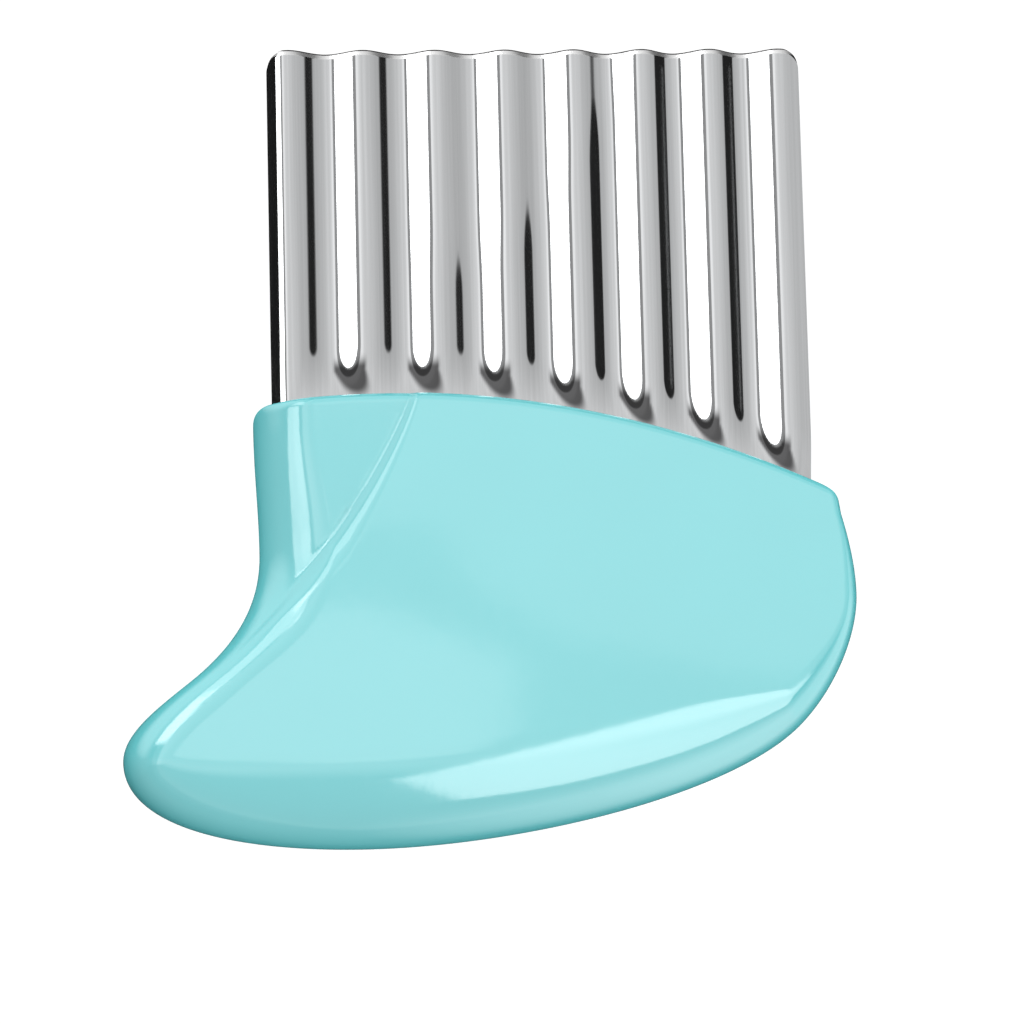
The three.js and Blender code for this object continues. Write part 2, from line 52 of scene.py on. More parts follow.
# Faces of the handle
CROWN_ACROSS = 1.6
CROWN_ALONG = 1.4
FRONT_RECESS = 2.4
BACK_RECESS = 1.6
TOP_DROP = 12.9
TOP_FILLET = 1.2
PARTING_LAND = 0.6
RIM_ROUND = 0.12
WALL = 2.2
SEAM_GAP = 0.05
RECESS_END = -31.0
RECESS_FADE = 17.0
RIDGE_SLOPE = (0.76, 1.14)
SLOPE_START = -23.0
SLOPE_RUN = 24.0
RIDGE_FOOT = 0.12
RIDGE_CREST = 0.66
RIDGE_MIDDLE = 1.2
CROWDING = 0.68
CROWD_REACH = 4.0
CROWD_INSET = 0.5
CROWD_RUN = 3.0

# Blade
SHEET = 0.7
WAVE_DEPTH = 2.5
WAVE_COUNT = 7
END_RUN = 2.75
LEFT_BEND = 2.0
LEFT_ANGLE = math.radians(46)
RIGHT_BEND = 2.4
RIGHT_ANGLE = math.radians(24)
BLADE_LEFT = -29.2
BLADE_RIGHT = 44.9
WAVE_EASING = 0.1
EASING_START = -5.0
EASING_RUN = 30.0
WAVE_SHIFT = 0.8
FADE_START = -1.5
FADE_LENGTH = 9.5
GRIND = 0.85
GRIND_DROP = 0.2
HONE = 0.26
SUPPORT = 0.06
EDGE_THICKNESS = 0.1
TIP_RADIUS = 2.0
SLOT_GAP = 0.15
TANG_DEPTH = 21.0
TANG_INSET = 8.5
SHOULDER_DEPTH = 4.0


def plan(across, along):
    """Point of the plan, from shares of the handle's width and length."""
    return np.array([(across - 0.5) * HANDLE_WIDTH, along * HANDLE_LENGTH - OVERALL_LENGTH / 2])


CREST = plan(0.36, 1.0)
CENTRE = plan(0.5, 0.46)
RIDGE_TOP_X = plan(0.392, 1.0)[0]
TOP_LEFT_X = plan(0.206, 1.0)[0]
TOP_RIGHT_X = plan(0.938, 1.0)[0]
FIRST_RIDGE = BLADE_LEFT + END_RUN
LAST_RIDGE = BLADE_RIGHT - END_RUN
PITCH = (LAST_RIDGE - FIRST_RIDGE) / WAVE_COUNT
EDGE_Y = OVERALL_LENGTH / 2


def top_edge(x):
    """Height in the plan of the handle's curved top edge."""
    return CREST[1] - TOP_DROP * ((x - CREST[0]) / (TOP_RIGHT_X - CREST[0])) ** 2


def top_slope(x):
    return -2 * TOP_DROP * (x - CREST[0]) / (TOP_RIGHT_X - CREST[0]) ** 2


def curve_points(corners, steps):
    """Points along a Bezier piece of the outline, without its last one."""
    knots = [Vector((*corner, 0.0)) for corner in corners]
    if len(knots) == 3:
        start, pull, end = knots
        knots = [start, start.lerp(pull, 2 / 3), end.lerp(pull, 2 / 3), end]
    points = interpolate_bezier(knots[0], knots[1], knots[2], knots[3], steps + 1)
    return [(point.x, point.y) for point in points[:-1]]


def outline_pieces():
    """Rolled sides, clockwise: corners, steps, and at both ends the roll's width, fullness and depth."""
    corner_right = plan(0.98, 0.718)
    heel_side = plan(1.0, 0.541)
    heel = plan(0.912, 0.239)
    sole = plan(0.33, 0.0)
    nose = plan(0.0, 0.205)
    nose_top = plan(0.095, 0.38)
    waist = plan(0.186, 0.656)
    shoulder = plan(0.18, 0.944)
    return [
        ((corner_right, plan(0.989, 0.666), plan(1.0, 0.607), heel_side), 18, (1.8, 3.0), (2, 2), (1, 1)),
        ((heel_side, plan(1.0, 0.434), plan(0.962, 0.311), heel), 34, (3.0, 6.0), (2, 2), (1, 1)),
        ((heel, plan(0.815, 0.098), plan(0.54, 0.0), sole), 60, (6.0, 14.0), (2, 2), (1, 1)),
        ((sole, plan(0.16, 0.0), plan(0.0, 0.057), nose), 56, (14.0, 6.5), (2, 2), (1, 1)),
        ((nose, plan(0.0, 0.269), plan(0.05, 0.323), nose_top), 36, (6.5, 5.6), (2, 2), (1, 0.58)),
        ((nose_top, plan(0.145, 0.444), plan(0.186, 0.533), waist), 46, (5.6, 10.0), (2, 1.6), (0.58, 1)),
        ((waist, plan(0.186, 0.754), plan(0.18, 0.836), shoulder), 30, (10.0, 8.3), (1.6, 1.6), (1, 1)),
    ]


def top_points():
    """Points of the top corners and of the curved top edge, closest together where the ridge meets it."""
    top_left = np.array([TOP_LEFT_X, top_edge(TOP_LEFT_X)])
    top_right = np.array([TOP_RIGHT_X, top_edge(TOP_RIGHT_X)])
    ridge_left, ridge_right = RIDGE_TOP_X - 3, RIDGE_TOP_X + 4
    across = np.concatenate([
        np.linspace(TOP_LEFT_X, ridge_left, 26, endpoint=False),
        np.linspace(ridge_left, ridge_right, 34, endpoint=False),
        np.linspace(ridge_right, TOP_RIGHT_X, 70, endpoint=False),
    ])
    edge = [(x, top_edge(x)) for x in across]
    right_corner = curve_points((top_right, plan(0.968, 0.767), plan(0.98, 0.718)), 16)
    left_corner = curve_points((plan(0.18, 0.944), plan(0.18, 0.979), top_left), 16)
    return left_corner + edge + right_corner


def ease(share):
    """Smooth step from 0 to 1."""
    kept = np.clip(share, 0.0, 1.0)
    return kept * kept * (3 - 2 * kept)


def ease_between(value, limits):
    return ease((value - limits[0]) / (limits[1] - limits[0]))


def early(share):
    """Step from 0 to 1 that is mostly done at the start."""
    return 1 - (1 - share) ** 3


def late(share):
    """Smooth step from 0 to 1 that is mostly done at the end."""
    return ease(share ** 1.6)


def outline_points():
    """The outline's points, and those of its rolled sides with their roll widths, fullness and depths."""
    sides, rolls, fullness, depths = [], [], [], []
    for corners, steps, roll, full, deep in outline_pieces():
        shares = np.arange(steps) / steps
        grown = early(shares) if roll[1] > 12 else late(shares) if deep[0] < 1 else ease(shares)
        sides += curve_points(corners, steps)
        rolls += list(roll[0] + (roll[1] - roll[0]) * grown)
        fullness += list(full[0] + (full[1] - full[0]) * ease(shares))
        depths += list(deep[0] + (deep[1] - deep[0]) * ease(shares))
    spots = np.array(top_points() + sides)
    sides = [tuple(plan(0.955, 1.0))] + sides + [tuple(plan(0.18, 1.1))]
    rolls, fullness, depths = (
        np.array([values[0]] + values + [values[-1]]) for values in (rolls, fullness, depths)
    )
    return spots, np.array(sides), rolls, fullness, depths


OUTLINE, ROLLED_LINE, ROLL_WIDTHS, FULLNESS, ROLL_DEPTHS = outline_points()


def rays_to_centre():
    """Each outline point's ray to the centre: direction, length, and how squarely it leaves the outline."""
    along = np.roll(OUTLINE, -1, 0) - np.roll(OUTLINE, 1, 0)
    along /= np.linalg.norm(along, axis=1, keepdims=True)
    inward = np.stack([along[:, 1], -along[:, 0]], 1)
    ray = CENTRE - OUTLINE
    length = np.linalg.norm(ray, axis=1)
    ray = ray / length[:, None]
    square = (ray * inward).sum(1)
    reach = 12
    evened = sum(np.roll(square, step) for step in range(-reach, reach + 1)) / (2 * reach + 1)
    return ray, length, evened


RAY, RAY_LENGTH, SQUARENESS = rays_to_centre()


def quarter_round(share, fullness=2.0):
    """Profile of a rolled edge: 0 at the edge, 1 where the roll ends; 2 is a true quarter round."""
    kept = np.clip(share, 0.0, 1.0)
    return (1 - (1 - kept) ** fullness) ** (1 / fullness)


def off_segment(spots, start, step):
    """Share along a segment that lies nearest to each spot, and the offset from there to the spot."""
    away = spots - start
    share = np.clip(away @ step / (step @ step), 0, 1)
    return share, away - share[:, None] * step


def side_roll(spots, inset):
    """How far the rolled sides have risen over each spot, from 0 to 1."""
    steps = np.diff(ROLLED_LINE, axis=0)
    lowest = np.ones(len(spots))
    for index, step in enumerate(steps):
        share, offset = off_segment(spots, ROLLED_LINE[index], step)
        distance = np.linalg.norm(offset, axis=1)
        roll = ROLL_WIDTHS[index] + (ROLL_WIDTHS[index + 1] - ROLL_WIDTHS[index]) * share
        fullness = FULLNESS[index] + (FULLNESS[index + 1] - FULLNESS[index]) * share
        depth = ROLL_DEPTHS[index] + (ROLL_DEPTHS[index + 1] - ROLL_DEPTHS[index]) * share
        rolled = quarter_round((distance - inset) / roll, fullness)
        lowest = np.minimum(lowest, 1 - depth * (1 - rolled))
    return lowest


RIDGE_KNOTS = (plan(0.389, 0.983), plan(0.329, 0.753), plan(0.204, 0.525), plan(0.103, 0.336))


def ridge_line():
    """Foot line of the ridge, run on past the handle's top edge."""
    line = np.array(curve_points(RIDGE_KNOTS, 48))
    return np.concatenate([[line[0] + (line[0] - line[1]) * 5], line])


RIDGE_LINE = ridge_line()


def past_ridge(spots):
    """Distance of each spot past the ridge's foot line, negative in the finger hollow, and its direction."""
    nearest = np.full(len(spots), 1e9)
    side = np.ones(len(spots))
    away_from = np.zeros_like(spots)
    for start, end in zip(RIDGE_LINE[:-1], RIDGE_LINE[1:]):
        step = end - start
        offset = off_segment(spots, start, step)[1]
        distance = np.linalg.norm(offset, axis=1)
        closer = distance < nearest
        nearest = np.where(closer, distance, nearest)
        side = np.where(closer, np.sign(step[0] * offset[:, 1] - step[1] * offset[:, 0]), side)
        away_from = np.where(closer[:, None], offset, away_from)
    past = nearest * side
    return past, away_from / np.where(np.abs(past) > 1e-6, past, 1.0)[:, None]


def recess_left(spots):
    """Share of the finger hollow's depth that is left at each spot: it runs out along the nose."""
    return ease((spots[:, 1] - RECESS_END) / RECESS_FADE)


def ridge_rise(spots, step):
    """Share of a step that has risen at each spot: a short foot, a straight face and a wide round crest."""
    whole = 1 - (RIDGE_FOOT + RIDGE_CREST) / 2
    steeper = ease((spots[:, 1] - SLOPE_START) / SLOPE_RUN)
    slope = RIDGE_SLOPE[0] + (RIDGE_SLOPE[1] - RIDGE_SLOPE[0]) * steeper
    width = np.maximum(step, 0.02) / (slope * whole)
    past = np.clip(past_ridge(spots)[0] / width, 0, 1)
    foot = past ** 2 / (2 * RIDGE_FOOT)
    face = past - RIDGE_FOOT / 2
    crest = whole - (1 - past) ** 2 / (2 * RIDGE_CREST)
    climbed = np.where(past < RIDGE_FOOT, foot, np.where(past > 1 - RIDGE_CREST, crest, face))
    return climbed / whole


def crowd_to_ridge(spots, inset):
    """Draws the points of the face closer together where the ridge's step lies."""
    past, across = past_ridge(spots)
    middle = past - RIDGE_MIDDLE
    pull = CROWDING * middle * np.exp(-(middle / CROWD_REACH) ** 2)
    pull = pull * ease((inset - CROWD_INSET) / CROWD_RUN) * recess_left(spots)
    return spots - across * pull[:, None]


def crowned_face(spots):
    across = (spots[:, 0] - CENTRE[0]) / (HANDLE_WIDTH / 2)
    along = (spots[:, 1] - CENTRE[1]) / (CREST[1] - CENTRE[1])
    return FRONT_HEIGHT - CROWN_ACROSS * across ** 2 - CROWN_ALONG * along ** 2


def front_face(spots):
    crown = crowned_face(spots)
    step = (crown - FRONT_HEIGHT + FRONT_RECESS) * recess_left(spots)
    return crown - step * (1 - ridge_rise(spots, step))


def back_face(spots):
    step = BACK_RECESS * recess_left(spots)
    return BACK_DEPTH - step * (1 - ridge_rise(spots, step))


def outer_skin(spots, face):
    """Height of a shell's outer skin over the parting plane."""
    rise = face(spots) - PARTING_LAND
    below = (top_edge(spots[:, 0]) - spots[:, 1]) / np.hypot(1, top_slope(spots[:, 0]))
    fillet = 1 - TOP_FILLET / rise * (1 - quarter_round(below / TOP_FILLET))
    return PARTING_LAND + rise * side_roll(spots, 0.0) * fillet


def inner_skin(spots, face):
    return PARTING_LAND + (face(spots) - WALL - PARTING_LAND) * side_roll(spots, WALL)


def end_drop(beyond, bend, angle):
    """Drop of the sheet beyond its outer ridges: a round bend that runs on straight."""
    beyond = np.maximum(beyond, 0)
    arc_end = bend * math.sin(angle)
    on_arc = np.minimum(beyond, arc_end)
    return bend - np.sqrt(bend ** 2 - on_arc ** 2) + (beyond - on_arc) * math.tan(angle)


def wave_height(x):
    """Height of the waves: they are a little wider on the left than on the right, and as much deeper."""
    share = np.clip((x - FIRST_RIDGE) / (LAST_RIDGE - FIRST_RIDGE), 0, 1)
    shift = 27 / 4 * WAVE_SHIFT / PITCH  # share * (1 - share) ** 2 is 4 / 27 at its most
    turns = WAVE_COUNT * share - shift * share * (1 - share) ** 2
    width = 1 / (1 - shift / WAVE_COUNT * (1 - share) * (1 - 3 * share))
    depth = width * (1 - WAVE_EASING * (1 - ease((x - EASING_START) / EASING_RUN)))
    return WAVE_DEPTH / 2 * depth * np.cos(2 * np.pi * turns)


def sheet_height(x, y):
    """Middle of the blade's sheet over the parting plane."""
    rise = ease((y - top_edge(x) - FADE_START) / FADE_LENGTH)
    left_end = end_drop(FIRST_RIDGE - x, LEFT_BEND, LEFT_ANGLE)
    right_end = end_drop(x - LAST_RIDGE, RIGHT_BEND, RIGHT_ANGLE)
    return rise * wave_height(x) - (left_end + right_end)


def shell_rim(side):
    """Height of a shell's rim at each outline point: the seam, or the slot along the blade."""
    x, y = OUTLINE[:, 0], OUTLINE[:, 1]
    seam = np.full(len(OUTLINE), SEAM_GAP / 2)
    slot = side * sheet_height(x, y) + SHEET / 2 + SLOT_GAP
    on_top = y > top_edge(x) - 0.5
    in_slot = on_top & (x > BLADE_LEFT - SLOT_GAP) & (x < BLADE_RIGHT + SLOT_GAP)
    return np.where(in_slot, slot, seam)


ROLL_RINGS = 44
FACE_RINGS = 96
WALL_RINGS = 4
INNER_RINGS = 14
ROLL_REACH = 13.0


def shell_rows(face, side):
    """Rows of points of a shell, from the middle of its outer face round the rim to the middle inside."""
    rows = []
    reach = ROLL_REACH / SQUARENESS
    for ring in range(FACE_RINGS):
        travel = RAY_LENGTH + (reach - RAY_LENGTH) * (ring / FACE_RINGS)
        spots = crowd_to_ridge(OUTLINE + RAY * travel[:, None], ROLL_REACH)
        rows.append((spots, outer_skin(spots, face)))
    for ring in range(ROLL_RINGS, -1, -1):
        inset = ROLL_REACH * (1 - math.cos(math.pi / 2 * ring / ROLL_RINGS))
        spots = crowd_to_ridge(OUTLINE + RAY * (inset / SQUARENESS)[:, None], inset)
        rows.append((spots, outer_skin(spots, face)))
    rim = shell_rim(side)
    wall_top = rows[-1][1]
    for ring in range(1, WALL_RINGS + 1):
        share = ring / WALL_RINGS
        rows.append((OUTLINE, wall_top + (rim + RIM_ROUND - wall_top) * share))
    for inset in (RIM_ROUND, WALL):
        spots = OUTLINE + RAY * (inset / SQUARENESS)[:, None]
        rows.append((spots, rim))
    for ring in range(INNER_RINGS + 1):
        share = 1 - math.cos(math.pi / 2 * ring / INNER_RINGS)
        travel = WALL / SQUARENESS + (RAY_LENGTH - WALL / SQUARENESS) * share
        spots = OUTLINE + RAY * travel[:, None]
        rows.append((spots, np.maximum(inner_skin(spots, face), rim + 0.3)))
    return rows


def deselect_all():
    bpy.ops.object.select_all(action="DESELECT")


def new_grid(name, columns, rows):
    """Flat square grid, ready to be wrapped into a piece; returns it with each vertex's column and row."""
    deselect_all()
    bpy.ops.mesh.primitive_grid_add(x_subdivisions=columns, y_subdivisions=rows, size=2.0)
    piece = bpy.context.active_object
    piece.name = name
    piece.data.name = name
    flat = np.empty(len(piece.data.vertices) * 3)
    piece.data.vertices.foreach_get("co", flat)
    flat = flat.reshape(-1, 3)
    column = np.rint((flat[:, 0] + 1) / 2 * columns).astype(int)
    row = np.rint((flat[:, 1] + 1) / 2 * rows).astype(int)
    return piece, column, row


def place_points(piece, points):
    """Moves every vertex of a piece to its point, given in millimetres over the parting plane."""
    placed = points * MM
    placed[:, 2] += BACK_DEPTH * MM
    piece.data.vertices.foreach_set("co", placed.ravel())
    piece.data.update()


def close_piece(piece):
    """Merges the wrap's seam and poles and turns all faces outwards."""
    bpy.context.view_layer.objects.active = piece
    bpy.ops.object.mode_set(mode="EDIT")
    bpy.ops.mesh.select_all(action="SELECT")
    bpy.ops.mesh.remove_doubles(threshold=1e-7)
    bpy.ops.mesh.normals_make_consistent(inside=False)
    bpy.ops.object.mode_set(mode="OBJECT")


def make_shell(name, node, face, side, material):
    rows = shell_rows(face, side)
    piece, column, row = new_grid(name, len(OUTLINE), len(rows) - 1)
    plan_points = np.array([spots for spots, _ in rows])
    heights = np.array([height for _, height in rows])
    around = column % len(OUTLINE)
    points = np.empty((len(column), 3))
    points[:, :2] = plan_points[row, around]
    points[:, 2] = side * heights[row, around]
    place_points(piece, points)
    close_piece(piece)
    deselect_all()
    piece.select_set(True)
    bpy.ops.object.shade_smooth_by_angle(angle=math.radians(38))
    hide_from(piece, "glossy")
    finish_piece(piece, node, material)
    return piece


def finish_piece(piece, node, material):
    piece.data.materials.clear()
    piece.data.materials.append(material)
    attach(piece, "root")
    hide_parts(node)


def sheet_columns():
    """Places across the blade at which its columns of points stand."""
    inner = np.linspace(BLADE_LEFT + TIP_RADIUS, BLADE_RIGHT - TIP_RADIUS, 300)
    curl = TIP_RADIUS * (1 - np.cos(np.linspace(0, math.pi / 2, 12)))[:-1]
    return np.concatenate([BLADE_LEFT + curl, inner, (BLADE_RIGHT - curl)[::-1]])


def sheet_bottom(x):
    tang_left = BLADE_LEFT + TANG_INSET
    tang_right = BLADE_RIGHT - TANG_INSET
    beyond = np.clip(np.maximum(tang_left - x, x - tang_right), 0, 1)
    tang = CREST[1] - TANG_DEPTH
    return tang + (top_edge(x) - SHOULDER_DEPTH - tang) * beyond


def sheet_top(x):
    from_end = np.minimum(x - BLADE_LEFT, BLADE_RIGHT - x)
    return EDGE_Y - TIP_RADIUS * (1 - quarter_round(from_end / TIP_RADIUS))


def sheet_rows(x):
    """Heights at which the sheet's rows of points lie, from the tang to the cutting edge."""
    top = top_edge(x)
    bottom = sheet_bottom(x)
    edge = sheet_top(x)
    fade_end = top + FADE_START + FADE_LENGTH
    rows = [bottom + (top - bottom) * share for share in np.linspace(0, 1, 8)[:-1]]
    rows += [top + (fade_end - top) * share for share in np.linspace(0, 1, 34)[:-1]]
    rows += [fade_end + (edge - GRIND - SUPPORT - fade_end) * share for share in np.linspace(0, 1, 24)]
    rows += [edge - HONE - (GRIND - HONE) * (1 - share) for share in np.linspace(0, 1, 6)]
    rows += [edge - HONE * (1 - share) for share in np.linspace(0, 1, 4)[1:]]
    return np.array(rows)


def make_blade(material):
    across = sheet_columns()
    heights = sheet_rows(across)
    piece, column, row = new_grid("blade_sheet", len(across) - 1, len(heights) - 1)
    x = across[column]
    y = heights[row, column]
    points = np.stack([x, y, sheet_height(x, y)], 1)
    place_points(piece, points)
    front_count = len(points)
    thicken = piece.modifiers.new("sheet thickness", "SOLIDIFY")
    thicken.thickness = SHEET * MM
    thicken.offset = 0.0
    bpy.ops.object.modifier_apply(modifier=thicken.name)
    grind_edge(piece, front_count, sheet_top(x) - y)
    bow_sheet(piece)
    deselect_all()
    piece.select_set(True)
    bpy.ops.object.shade_smooth_by_angle(angle=math.radians(22))
    finish_piece(piece, "blade", material)
    return piece


def grind_edge(piece, front_count, below_edge):
    """Grinds the front of the sheet down to a thin edge over the last millimetre."""
    vertices = piece.data.vertices
    flat = np.empty(len(vertices) * 3)
    vertices.foreach_get("co", flat)
    places = flat.reshape(-1, 3)
    front = places[:front_count, 2] - places[front_count:, 2]
    upper = np.arange(front_count) if front.mean() > 0 else np.arange(front_count) + front_count
    lower = (upper + front_count) % (2 * front_count)
    ground = np.clip((GRIND - below_edge) / (GRIND - HONE), 0, 1) * GRIND_DROP
    honed = np.clip(1 - below_edge / HONE, 0, 1) * (SHEET - EDGE_THICKNESS - GRIND_DROP)
    depth = (ground + honed) / SHEET
    places[upper] += (places[lower] - places[upper]) * depth[:, None]
    vertices.foreach_set("co", places.ravel())
    piece.data.update()


BOW = 570.0
BOW_MIDDLE = -23.4
SLACK = 0.065
SLACK_LEFT = -12.0
SLACK_LEFT_RUN = 5.0
SLACK_MIDDLE = -4.6
SLACK_BASE = 20.7
SLACK_TILT = 0.02
SLACK_CURVE = 0.0427
SLACK_RUN = 10.0
# Shape of the painted shade in the pockets where the grooves run out at the handle
POCKET_SKEW = 3.5
SKEW_START = 0.62
SKEW_MOST = 0.4
POCKET_WALL = (0.05, 0.21)
STEEP_WALL = (0.48, 0.53)
POCKET_END = (0.72, 0.96)


def sheet_slope(x, y):
    """Rise of the sheet to the right, per millimetre."""
    step = 0.05
    return (sheet_height(x + step, y) - sheet_height(x - step, y)) / (2 * step)


def painted_pocket_shade(x, y):
    """Painted shade: darkening of the pockets in which the grooves' left-facing walls run out at the handle.
    """
    share = (y - top_edge(x) - FADE_START) / FADE_LENGTH
    skewed = x - POCKET_SKEW * np.clip(SKEW_START - share, 0, SKEW_MOST)
    wall = ease_between(sheet_slope(skewed, y), POCKET_WALL)
    wall = wall * (1 - ease_between(sheet_slope(x, y), STEEP_WALL))
    return wall * (1 - ease_between(ease(share), POCKET_END)) * (x > FIRST_RIDGE + 1)


def store_values(piece, name, kind, field, values):
    layer = piece.data.attributes.new(name, kind, "POINT")
    layer.data.foreach_set(field, values.ravel())


def bow_sheet(piece):
    """Gives the sheet's points the lean of its bow and of the slack in its free edge, and its painted pocket
    shade.
    """
    vertices = piece.data.vertices
    flat = np.empty(len(vertices) * 3)
    vertices.foreach_get("co", flat)
    x, y = flat[0::3] / MM, flat[1::3] / MM
    past = x - SLACK_MIDDLE
    above = y - SLACK_BASE - SLACK_TILT * past - SLACK_CURVE * past ** 2
    slack = SLACK * ease((x - SLACK_LEFT) / SLACK_LEFT_RUN) * ease(above / SLACK_RUN)
    lean = np.zeros((len(vertices), 3))
    lean[:, 0] = -(x - BOW_MIDDLE) / BOW - slack
    store_values(piece, "bow", "FLOAT_VECTOR", "vector", lean)
    # Painted shade of the pockets, stored on the points for the steel's colour
    store_values(piece, "painted_shade", "FLOAT", "value", painted_pocket_shade(x, y))


def new_material(name):
    material = bpy.data.materials.new(name)
    material.use_nodes = True
    nodes = material.node_tree.nodes
    return material, nodes, material.node_tree.links, nodes["Principled BSDF"]


def add_node(nodes, kind, **settings):
    node = nodes.new("ShaderNode" + kind)
    for setting, value in settings.items():
        setattr(node, setting, value)
    return node


def stretched_noise(nodes, links, scale, detail=2.0):
    """Noise over the piece's own coordinates, with its own scale along each axis, per metre."""
    where = add_node(nodes, "TexCoord")
    stretch = add_node(nodes, "Mapping")
    stretch.inputs["Scale"].default_value = scale
    links.new(where.outputs["Object"], stretch.inputs["Vector"])
    noise = add_node(nodes, "TexNoise")
    noise.inputs["Scale"].default_value = 1.0
    noise.inputs["Detail"].default_value = detail
    links.new(stretch.outputs[0], noise.inputs["Vector"])
    return noise.outputs["Fac"]


def spread(nodes, links, value, low, high, start=0.3, end=0.7):
    """Maps a range of a value, the middle of a noise's unless told, onto the range from low to high."""
    reach = add_node(nodes, "MapRange")
    reach.inputs["From Min"].default_value = start
    reach.inputs["From Max"].default_value = end
    reach.inputs["To Min"].default_value = low
    reach.inputs["To Max"].default_value = high
    links.new(value, reach.inputs["Value"])
    return reach.outputs["Result"]


def tinted(nodes, links, colour, shade):
    """A colour, lightened or darkened by a shade value round 1."""
    tint = add_node(nodes, "Mix", data_type="RGBA", blend_type="MULTIPLY")
    tint.inputs["Factor"].default_value = 1.0
    tint.inputs["A"].default_value = (*colour, 1)
    links.new(shade, tint.inputs["B"])
    return tint.outputs["Result"]


AQUA = (0.148, 0.645, 0.68)
PLASTIC_IOR = 2.33


def aqua_plastic(name):
    """Glossy moulded plastic: faint flow clouds in the colour, fine wear in the gloss."""
    material, nodes, links, shader = new_material(name)
    clouds = stretched_noise(nodes, links, (60, 90, 60), 3.0)
    shade = spread(nodes, links, clouds, 0.99, 1.01)
    links.new(tinted(nodes, links, AQUA, shade), shader.inputs["Base Color"])
    shader.inputs["IOR"].default_value = PLASTIC_IOR
    wear = stretched_noise(nodes, links, (2600, 320, 900), 4.0)
    links.new(spread(nodes, links, wear, 0.07, 0.13), shader.inputs["Roughness"])
    skin = stretched_noise(nodes, links, (420, 420, 420), 2.0)
    bump = add_node(nodes, "Bump")
    bump.inputs["Strength"].default_value = 0.02
    bump.inputs["Distance"].default_value = 0.0004
    links.new(skin, bump.inputs["Height"])
    links.new(bump.outputs[0], shader.inputs["Normal"])
    return material


STEEL = (0.72, 0.73, 0.74)
# Painted shade: the colour that darkens the pockets where the grooves run out
POCKET_PAINTED_SHADE = (0.11, 0.11, 0.112)
GROUND = (0.98, 0.98, 0.98)
# Painted shade: near black for the thin dark line along the honed cutting edge
HONED_PAINTED_DARK = (0.03, 0.03, 0.03)


def bowed_normal(nodes, links):
    """Normal of the slightly bowed sheet, from the lean that its points carry."""
    bow = add_node(nodes, "Attribute", attribute_name="bow")
    leaned = add_node(nodes, "VectorMath", operation="ADD")
    links.new(add_node(nodes, "NewGeometry").outputs["Normal"], leaned.inputs[0])
    links.new(bow.outputs["Vector"], leaned.inputs[1])
    level = add_node(nodes, "VectorMath", operation="NORMALIZE")
    links.new(leaned.outputs[0], level.inputs[0])
    return level.outputs[0]


def blended(nodes, links, share, first, second):
    """Colour that turns from a socket's to a fixed one with a share."""
    mix = add_node(nodes, "Mix", data_type="RGBA")
    mix.inputs["B"].default_value = (*second, 1)
    links.new(share, mix.inputs["Factor"])
    links.new(first, mix.inputs["A"])
    return mix.outputs["Result"]


def height_mask(nodes, links, split, start):
    """Share that turns from 0 to 1 where the blade passes a height, in millimetres."""
    soft = 0.06
    return spread(nodes, links, split.outputs["Y"], 0.0, 1.0, (start - soft) * MM, (start + soft) * MM)


def polished_steel():
    """Polished sheet with fine streaks along the grooves and a satin ground bevel at the cutting edge."""
    material, nodes, links, shader = new_material("polished_steel")
    shader.inputs["Metallic"].default_value = 1.0
    split = add_node(nodes, "SeparateXYZ")
    links.new(add_node(nodes, "TexCoord").outputs["Object"], split.inputs[0])
    streaks = stretched_noise(nodes, links, (2600, 22, 900), 3.0)
    bright = tinted(nodes, links, STEEL, spread(nodes, links, streaks, 0.95, 1.05))
    # Painted shade: the pockets where the grooves run out are darkened in the colour
    painted_shade = add_node(nodes, "Attribute", attribute_name="painted_shade").outputs["Fac"]
    body = blended(nodes, links, painted_shade, bright, POCKET_PAINTED_SHADE)
    bevel = height_mask(nodes, links, split, EDGE_Y - GRIND)
    body = blended(nodes, links, bevel, body, GROUND)
    # Painted shade: the honed cutting edge is coloured near black as a thin dark line
    hone = height_mask(nodes, links, split, EDGE_Y - HONE)
    body = blended(nodes, links, hone, body, HONED_PAINTED_DARK)
    links.new(body, shader.inputs["Base Color"])
    polish = add_node(nodes, "Mix", data_type="FLOAT")
    polish.inputs["B"].default_value = 0.42
    links.new(bevel, polish.inputs["Factor"])
    links.new(spread(nodes, links, streaks, 0.045, 0.085), polish.inputs["A"])
    links.new(polish.outputs["Result"], shader.inputs["Roughness"])
    links.new(bowed_normal(nodes, links), shader.inputs["Normal"])
    return material


FLOOR_SIZE = 6.0
FLOOR_GLOW = 0.95
WALL_RADIUS = 2.8
WALL_HEIGHT = 4.0
WALL_GLOW = 1.02


def make_floor():
    """Pale floor that glows, so that the cutter's shadow stays faint."""
    deselect_all()
    bpy.ops.mesh.primitive_plane_add(size=FLOOR_SIZE)
    floor = bpy.context.active_object
    floor.name = "floor"
    material, nodes, links, shader = new_material("pale_floor")
    mottle = stretched_noise(nodes, links, (3, 3, 3), 3.0)
    shade = spread(nodes, links, mottle, 0.98, 1.02)
    links.new(tinted(nodes, links, (0.25, 0.25, 0.25), shade), shader.inputs["Base Color"])
    shader.inputs["Roughness"].default_value = 0.9
    shader.inputs["Specular IOR Level"].default_value = 0.0
    shader.inputs["Emission Color"].default_value = (1, 1, 1, 1)
    shader.inputs["Emission Strength"].default_value = FLOOR_GLOW
    floor.data.materials.append(material)
    hide_from(floor, "glossy", "diffuse", "shadow")


